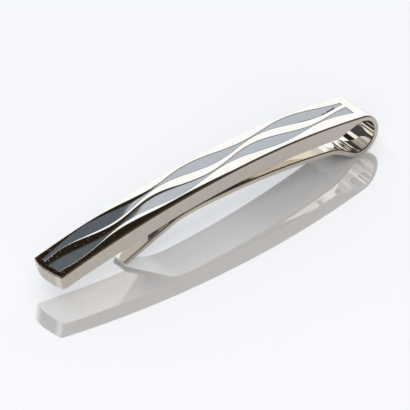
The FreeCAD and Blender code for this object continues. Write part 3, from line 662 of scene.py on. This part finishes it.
def leaf_path():
    """The leaf's upper edge from the bend to the straight tongue, and the x of the tongue's tip.

    The edge is points with the normals of the face there.
    """
    lean = math.asin((PINCH_TO_LOOP - CROWN_TO_LOOP) / BELLY_RADIUS)
    drop = BELLY_RADIUS - PINCH_GAP - PINCH_RADIUS
    pinch = (CROWN_X - drop * math.sin(lean), BELLY[1] + drop * math.cos(lean))
    leaf = (pinch[0], pinch[1] + PINCH_RADIUS - LEAF_RADIUS)
    reach = PINCH_RADIUS - TONGUE_BEND_RADIUS
    turn = (pinch[0] - reach * math.sin(TONGUE_BEND), pinch[1] + reach * math.cos(TONGUE_BEND))
    # The knee rolls along under the straight slope until it touches the long arc from inside.
    along = (-math.cos(LEAF_RISE), math.sin(LEAF_RISE))
    lift = INNER_RADIUS + KNEE_RADIUS
    base = (LOOP[0] - lift * math.sin(LEAF_RISE), LOOP[1] - lift * math.cos(LEAF_RISE))
    apart = (base[0] - leaf[0], base[1] - leaf[1])
    shift = apart[0] * along[0] + apart[1] * along[1]
    root = math.sqrt(shift ** 2 - math.hypot(*apart) ** 2 + (LEAF_RADIUS - KNEE_RADIUS) ** 2)
    travel = min(way for way in (-shift - root, -shift + root) if way > 0)
    knee = (base[0] + travel * along[0], base[1] + travel * along[1])
    knee_end = math.atan2(knee[1] - leaf[1], knee[0] - leaf[0])

    rise = UPRIGHT - LEAF_RISE
    bend = on_arc(LOOP, INNER_RADIUS, BEND_BOTTOM, rise - math.pi, TIGHT_STEP)
    path = [(point, (-normal[0], -normal[1])) for point, normal in bend]
    start, end = path[-1][0], polar(knee, KNEE_RADIUS, rise)
    path += [((start[0] + (end[0] - start[0]) * part, start[1] + (end[1] - start[1]) * part), path[-1][1])
             for part in (0.25, 0.5, 0.75)]
    arcs = ((knee, KNEE_RADIUS, rise, knee_end, TIGHT_STEP),
            (leaf, LEAF_RADIUS, knee_end, UPRIGHT, LONG_STEP),
            (pinch, PINCH_RADIUS, UPRIGHT, UPRIGHT + TONGUE_BEND, PINCH_STEP),
            (turn, TONGUE_BEND_RADIUS, UPRIGHT + TONGUE_BEND, UPRIGHT + TONGUE_ANGLE, TIGHT_STEP))
    for arc in arcs:
        # Its first point is left out: the arc before it ends there, or the straight slope leads up to it.
        path += on_arc(*arc)[1:]
    # The tip's rounded lower edge rests on the surface, z = 0.
    x, z = path[-1][0]
    lowest = z - STRIP / math.cos(TONGUE_ANGLE)
    sunk = EDGE_ROUND * (math.tan(TONGUE_ANGLE) + 1 / math.cos(TONGUE_ANGLE) - 1)
    tip_x = x - (lowest + sunk) / math.tan(TONGUE_ANGLE)
    return path, tip_x


def tongue_half(way):
    """Half width of the leaf in plan, at a way from the tongue's tip."""
    taper = (HALF_WIDTH - TONGUE_TIP_HALF) / TONGUE_TAPER
    half = TONGUE_TIP_HALF + taper * (way - TONGUE_BULGE)
    # Round the shoulder where the taper meets the leaf's sides.
    meet = TONGUE_BULGE + TONGUE_TAPER
    reach = TONGUE_SHOULDER * math.tan(math.atan(taper) / 2)
    if way > meet - reach:
        part = min((way - meet + reach) / (2 * reach), 1.0)
        half = HALF_WIDTH - taper * reach * (1 - part) ** 2
    if way < TONGUE_CORNER:
        end_x = 1 - way / TONGUE_CORNER
        half -= TONGUE_CORNER * (1 - math.sqrt(max(1 - end_x ** 2, 0)))
    return half


def rounded_off(way, radius):
    """How far a rounded edge has drawn back from its face at a way from its end."""
    if way >= radius:
        return 0.0
    return radius - math.sqrt(max(radius ** 2 - (radius - way) ** 2, 0))


def back_leaf(material):
    """The leaf with its knee, grip and tapered tongue, which thins to a rounded lip."""
    path, tip_x = leaf_path()
    (start_x, start_z), normal = path[-1]
    slope = math.tan(TONGUE_ANGLE)
    length = start_x - tip_x
    # Even steps along most of the tongue, then ever finer ones up to its tip.
    even_steps, even_kept, tip_steps = 24, 19, 14
    ways = [length * (1 - step / even_steps) for step in range(1, even_kept + 1)]
    ways += [ways[-1] * (1 - math.sin(UPRIGHT * step / tip_steps)) for step in range(1, tip_steps + 1)]
    path += [((tip_x + way, start_z - (length - way) * slope), normal) for way in ways]
    stations = []
    for (x, z), facing in path:
        way = x - tip_x
        above = LIP_SHARE * rounded_off(way, TONGUE_LIP)
        below = UNDER_LIP_SHARE * rounded_off(way, EDGE_ROUND)
        stations.append(((x, z), facing, tongue_half(way), (above, below), (LEAF_ROUND, LEAF_UNDER_ROUND)))
    return sweep_strip("back_leaf_strip", stations, material)


# Materials

def new_material(name):
    """A material with its node tree and its shader."""
    material = bpy.data.materials.new(name)
    material.use_nodes = True
    tree = material.node_tree
    return material, tree, tree.nodes["Principled BSDF"]


def add_noise(tree, scale, detail, stretch=(1.0, 1.0, 1.0)):
    """A noise pattern in the piece's own coordinates, stretched along an axis if asked."""
    where = tree.nodes.new("ShaderNodeTexCoord")
    mapping = tree.nodes.new("ShaderNodeMapping")
    mapping.inputs["Scale"].default_value = stretch
    noise = tree.nodes.new("ShaderNodeTexNoise")
    noise.inputs["Scale"].default_value = scale
    noise.inputs["Detail"].default_value = detail
    tree.links.new(where.outputs["Object"], mapping.inputs["Vector"])
    tree.links.new(mapping.outputs["Vector"], noise.inputs["Vector"])
    return noise.outputs["Fac"]


def map_range(tree, value, low, high, source_low=NOISE_LOW, source_high=NOISE_HIGH):
    """Bring a value from its own range to another one."""
    ranged = tree.nodes.new("ShaderNodeMapRange")
    ranged.inputs["From Min"].default_value = source_low
    ranged.inputs["From Max"].default_value = source_high
    ranged.inputs["To Min"].default_value = low
    ranged.inputs["To Max"].default_value = high
    tree.links.new(value, ranged.inputs["Value"])
    return ranged.outputs["Result"]


def tinted(tree, shader, pattern, dark, light):
    """Let a pattern run the shader's colour from a darker to a lighter tone."""
    tone = tree.nodes.new("ShaderNodeValToRGB")
    tone.color_ramp.elements[0].color = (*dark, 1)
    tone.color_ramp.elements[1].color = (*light, 1)
    tree.links.new(map_range(tree, pattern, 0.0, 1.0), tone.inputs["Fac"])
    tree.links.new(tone.outputs["Color"], shader.inputs["Base Color"])
    return tone.outputs["Color"]


def roughened(tree, shader, pattern, strength, height):
    """Let a pattern raise the surface a little; the height is in millimetres."""
    bump = tree.nodes.new("ShaderNodeBump")
    bump.inputs["Strength"].default_value = strength
    bump.inputs["Distance"].default_value = height * MM
    tree.links.new(pattern, bump.inputs["Height"])
    tree.links.new(bump.outputs["Normal"], shader.inputs["Normal"])


def combined(tree, how, *values):
    """Some values taken together by an operation, such as their maximum."""
    result = values[0]
    for value in values[1:]:
        node = tree.nodes.new("ShaderNodeMath")
        node.operation = how
        tree.links.new(result, node.inputs[0])
        tree.links.new(value, node.inputs[1])
        result = node.outputs["Value"]
    return result


def speckle(tree):
    """Fine specks left by polishing, thinning out from the front end: 0 on clean metal and 1 on a speck."""
    where = tree.nodes.new("ShaderNodeTexCoord").outputs["Object"]
    cells = tree.nodes.new("ShaderNodeTexVoronoi")
    cells.inputs["Scale"].default_value = SPECK_CELLS
    tree.links.new(where, cells.inputs["Vector"])
    split = tree.nodes.new("ShaderNodeSeparateXYZ")
    tree.links.new(where, split.inputs["Vector"])
    # A speck is round, and its size falls to nothing along the bar.
    size = map_range(tree, split.outputs["X"], SPECK_SIZE, 0.0, -HALF_LENGTH * MM, SPECKS_END * MM)
    chance = combined(tree, "MULTIPLY", size, cells.outputs["Color"])
    return combined(tree, "LESS_THAN", cells.outputs["Distance"], chance)


def undersides(tree, fade):
    """1 on faces that look down and 0 on the others, fading out along the clip between two places in x; it
    marks the satin and the painted shade.
    """
    where = tree.nodes.new("ShaderNodeTexCoord")
    ends = (fade[0] * MM, fade[1] * MM)
    shares = []
    for source, axis, (low, high) in (("Normal", "Z", FACING_DOWN), ("Object", "X", ends)):
        split = tree.nodes.new("ShaderNodeSeparateXYZ")
        tree.links.new(where.outputs[source], split.inputs["Vector"])
        shares.append(map_range(tree, split.outputs[axis], 1.0, 0.0, low, high))
    return combined(tree, "MINIMUM", *shares)


def mixed(tree, share, first, second, how="MIX"):
    """Mix two colours, each a socket or a fixed colour; the share may be a socket or a number."""
    node = tree.nodes.new("ShaderNodeMix")
    node.data_type = "RGBA"
    node.blend_type = how
    for socket, value in (("Factor", share), ("A", first), ("B", second)):
        if isinstance(value, bpy.types.NodeSocket):
            tree.links.new(value, node.inputs[socket])
        else:
            node.inputs[socket].default_value = value if socket == "Factor" else (*value, 1)
    return node.outputs["Result"]


def polished_metal(name, satin_shade_colour=None, satin_shade_fade=None):
    """White metal, mirror-polished with faint haze, hairlines and specks; its underside may be satin, in a
    darker colour that is painted shade under the clip.
    """
    material, tree, shader = new_material(name)
    clouds = add_noise(tree, scale=900, detail=6)
    tone = tinted(tree, shader, clouds, METAL_DARK, METAL_LIGHT)
    shader.inputs["Metallic"].default_value = 1.0
    haze = map_range(tree, add_noise(tree, scale=420, detail=4), *POLISH_ROUGHNESS)
    dull = [haze, map_range(tree, speckle(tree), 0.0, SPECK_ROUGHNESS, 0.0, 1.0)]
    if satin_shade_colour:
        satin_and_shade = undersides(tree, satin_shade_fade)
        dull.append(map_range(tree, satin_and_shade, 0.0, SATIN_ROUGHNESS, 0.0, 1.0))
        tree.links.new(map_range(tree, satin_and_shade, 1.0, SATIN_METALLIC, 0.0, 1.0), shader.inputs["Metallic"])
        # The underside's darker colour is painted shade under the clip.
        tree.links.new(mixed(tree, satin_and_shade, tone, satin_shade_colour), shader.inputs["Base Color"])
    tree.links.new(combined(tree, "MAXIMUM", *dull), shader.inputs["Roughness"])
    hairlines = add_noise(tree, scale=900, detail=3, stretch=(0.06, 1.0, 1.0))
    roughened(tree, shader, hairlines, strength=0.02, height=0.02)
    return material


def grey_band():
    """Blue-grey enamel with a strong gloss in the wave channels, a little cloudy."""
    material, tree, shader = new_material("grey_band")
    shader.inputs["IOR"].default_value = BAND_IOR
    tinted(tree, shader, add_noise(tree, scale=700, detail=5), BAND_DARK, BAND_LIGHT)
    grain = add_noise(tree, scale=2600, detail=3, stretch=(0.12, 1.0, 1.0))
    tree.links.new(map_range(tree, grain, *BAND_ROUGHNESS), shader.inputs["Roughness"])
    roughened(tree, shader, grain, strength=0.03, height=0.01)
    return material


def floor_material():
    """A pale glossy sheet that mirrors part of what stands on it."""
    material, tree, shader = new_material("pale_gloss_floor")
    shader.inputs["Base Color"].default_value = (*FLOOR_COLOUR, 1)
    shader.inputs["Metallic"].default_value = FLOOR_METALLIC
    shader.inputs["Roughness"].default_value = FLOOR_ROUGHNESS
    return material


# Stage and light

def make_floor():
    """The sheet that the clip lies on, wide enough to fill the view."""
    mesh = bpy.data.meshes.new("floor")
    reach = 3.0
    corners = [(-reach, -reach, 0), (reach, -reach, 0), (reach, reach, 0), (-reach, reach, 0)]
    mesh.from_pydata(corners, [], [(0, 1, 2, 3)])
    mesh.materials.append(floor_material())
    floor = bpy.data.objects.new("floor", mesh)
    bpy.context.scene.collection.objects.link(floor)
    floor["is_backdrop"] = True


def add_lamp(name, place, width, depth, power):
    """A soft lamp aimed at the clip, which fills in light without showing in the polished metal."""
    data = bpy.data.lights.new(name, "AREA")
    data.shape = "RECTANGLE"
    data.size, data.size_y = width, depth
    data.energy = power
    lamp = bpy.data.objects.new(name, data)
    lamp.location = place
    lamp.rotation_euler = Vector(place).to_track_quat("Z", "Y").to_euler()
    lamp.visible_glossy = False
    bpy.context.scene.collection.objects.link(lamp)
    lamp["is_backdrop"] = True


def make_world():
    """A dim room with a large softbox on its back wall, two small panels and a dark ceiling."""
    world = bpy.data.worlds.new("studio")
    bpy.context.scene.world = world
    world.use_nodes = True
    tree = world.node_tree
    where = tree.nodes.new("ShaderNodeTexCoord").outputs["Generated"]
    split = tree.nodes.new("ShaderNodeSeparateXYZ")
    tree.links.new(where, split.inputs["Vector"])

    def toward(direction):
        """Cosine of the angle between the view into the room and a direction."""
        dot = tree.nodes.new("ShaderNodeVectorMath")
        dot.operation = "DOT_PRODUCT"
        dot.inputs[1].default_value = direction
        tree.links.new(where, dot.inputs[0])
        return dot.outputs["Value"]

    aim = (*polar((0, 0), 1, math.radians(SOFTBOX_AZIMUTH)), 0.0)
    softbox = map_range(tree, toward(aim), 0.0, 1.0, *SOFTBOX_EDGE)
    wall_top = [math.sin(math.radians(edge)) for edge in WALL_TOP]
    above = map_range(tree, split.outputs["Z"], 0.0, 1.0, *wall_top)
    behind = map_range(tree, split.outputs["Y"], 0.0, 1.0, *BACK_HALF)
    light = mixed(tree, above, mixed(tree, softbox, BACK_WALL, SOFTBOX), CEILING)
    light = mixed(tree, behind, FRONT_WALL, light)
    for azimuth, elevation, spread, brightness in PANELS:
        level, height = polar((0, 0), 1, math.radians(elevation))
        aim = (*polar((0, 0), level, math.radians(azimuth)), height)
        edges = [math.cos(math.radians(edge)) for edge in spread]
        panel = map_range(tree, toward(aim), 0.0, brightness, *edges)
        light = mixed(tree, 1.0, light, panel, "LIGHTEN")
    tree.links.new(light, tree.nodes["Background"].inputs["Color"])


def make_camera():
    """The photograph's viewpoint, fitted to the clip and to its mirror image in the floor."""
    azimuth, elevation = math.radians(-39.84), math.radians(37.682)
    target = Vector((-0.291, 0.0, 2.2)) * MM
    distance = 1.2
    focal_pixels, image_pixels = 8772.4, 410
    back = Vector((math.sin(azimuth) * math.cos(elevation), -math.cos(azimuth) * math.cos(elevation),
                   math.sin(elevation)))
    data = bpy.data.cameras.new("camera")
    data.sensor_width = 36.0
    data.lens = focal_pixels / image_pixels * data.sensor_width
    data.clip_start, data.clip_end = 0.01, 20.0
    camera = bpy.data.objects.new("camera", data)
    camera.location = target + back * distance
    camera.rotation_euler = (-back).to_track_quat("-Z", "Y").to_euler()
    bpy.context.scene.collection.objects.link(camera)
    bpy.context.scene.camera = camera


bpy.context.scene.view_settings.view_transform = "Standard"
metal, grey = polished_metal("polished_metal"), grey_band()

bar_metal = polished_metal("bar_metal", BAR_SATIN_SHADE, BAR_SATIN_SHADE_FADE)
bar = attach(front_bar(bar_metal), "front")
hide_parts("front_bar")
for node, hand in (("upper_wave_inlay", 1), ("lower_wave_inlay", -1)):
    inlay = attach(wave_inlay(f"{node}_slab", hand, grey), "front")
    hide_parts(node)
leaf_metal = polished_metal("leaf_metal", LEAF_SATIN_SHADE, LEAF_SATIN_SHADE_FADE)
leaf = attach(back_leaf(leaf_metal), "leaf")
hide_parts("back_leaf")
bend = spring_bend(metal)
low_cut, high_cut = (polar(LOOP, LOOP_RADIUS - STRIP / 2, angle) for angle in (BEND_BOTTOM, BEND_TOP))
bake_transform(bend)
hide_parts("spring_bend")

make_floor()
make_world()
add_lamp("ceiling_fill", (0.0, 0.0, 1.0), width=1.2, depth=1.2, power=5.9)
add_lamp("front_fill", (-0.5, -0.65, 0.55), width=1.2, depth=0.8, power=5.5)
make_camera()

boxes = {"cad": cad_box, "visual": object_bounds()}
{name: [list(corner) for corner in box] for name, box in boxes.items()}
